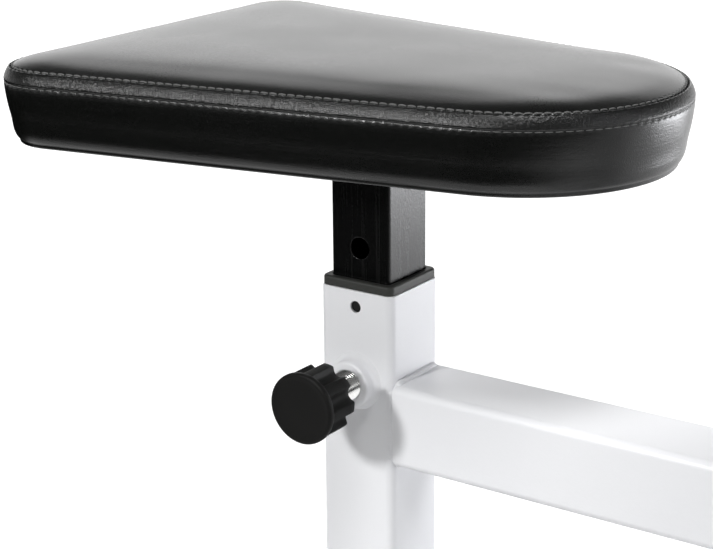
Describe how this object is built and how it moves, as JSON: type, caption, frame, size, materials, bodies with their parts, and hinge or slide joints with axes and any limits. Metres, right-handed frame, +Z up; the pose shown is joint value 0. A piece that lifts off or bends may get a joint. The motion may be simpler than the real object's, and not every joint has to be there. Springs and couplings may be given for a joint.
{
  "type": "preacher curl bench",
  "caption": "Preacher curl bench: padded seat on a sliding post locked by a pull pin, and a sloping padded arm rest with a bar rest, on a square-tube frame with rubber-capped feet.",
  "frame": {"origin": "on the floor, under the middle of the bench", "axes": "+X from the seat towards the arm pad, +Y away from the pull pin's side, +Z up"},
  "size_m": [0.848, 0.6, 0.8709],
  "materials": {
    "white_paint": "smooth white powder coat",
    "black_paint": "semi-gloss black powder coat",
    "vinyl": "glossy black vinyl with a fine grain",
    "foam": "upholstery foam",
    "plywood": "bare plywood",
    "rubber": "matte black rubber",
    "bush_plastic": "dark grey moulded nylon",
    "knob_plastic": "matte black moulded plastic",
    "liner_plastic": "black moulded plastic",
    "zinc_steel": "bright zinc plate",
    "pin_steel": "plain turned steel",
    "bright_thread": "bright plated thread"
  },
  "bodies": {
    "frame": {"arm_board": "plywood", "arm_bolts": "zinc_steel", "arm_cover": "vinyl", "arm_foam": "foam", "arm_plate": "white_paint", "arm_tee_nuts": "zinc_steel", "arm_washers": "zinc_steel", "bar_hook_far": "white_paint", "bar_hook_near": "white_paint", "bar_rest_arm": "white_paint", "bar_rest_cross_tube": "white_paint", "beam_flange": "white_paint", "frame_bolts": "zinc_steel", "frame_nuts": "zinc_steel", "frame_washers": "zinc_steel", "front_foot": "white_paint", "front_foot_cap_far": "rubber", "front_foot_cap_near": "rubber", "front_upright": "white_paint", "front_upright_base": "white_paint", "guide_bush": "bush_plastic", "hook_liner_far": "liner_plastic", "hook_liner_near": "liner_plastic", "main_beam": "white_paint", "pin_barrel": "bright_thread", "pin_boss": "white_paint", "pin_spring": "pin_steel", "rear_foot": "white_paint", "rear_foot_cap_far": "rubber", "rear_foot_cap_near": "rubber", "seat_upright": "white_paint", "seat_upright_base": "white_paint"},
    "seat": {"seat_cover": "vinyl", "seat_foam": "foam", "seat_board": "plywood", "seat_plate": "black_paint", "seat_bolts": "zinc_steel", "seat_washers": "zinc_steel", "seat_tee_nuts": "zinc_steel", "seat_post": "black_paint"},
    "pull_pin": {"pin_plunger": "pin_steel", "pin_knob": "knob_plastic"}
  },
  "joints": [
    {"name": "seat_height", "type": "slide", "parent": "frame", "child": "seat", "axis": [0, 0, 1], "range_m": [-0.0792, 0.0792]},
    {"name": "pin_pull", "type": "slide", "parent": "frame", "child": "pull_pin", "axis": [0, -1, 0], "range_m": [0, 0.01], "stiffness_N_per_m": 900, "springref_m": -0.012, "deforming": ["pin_spring"]}
  ]
}
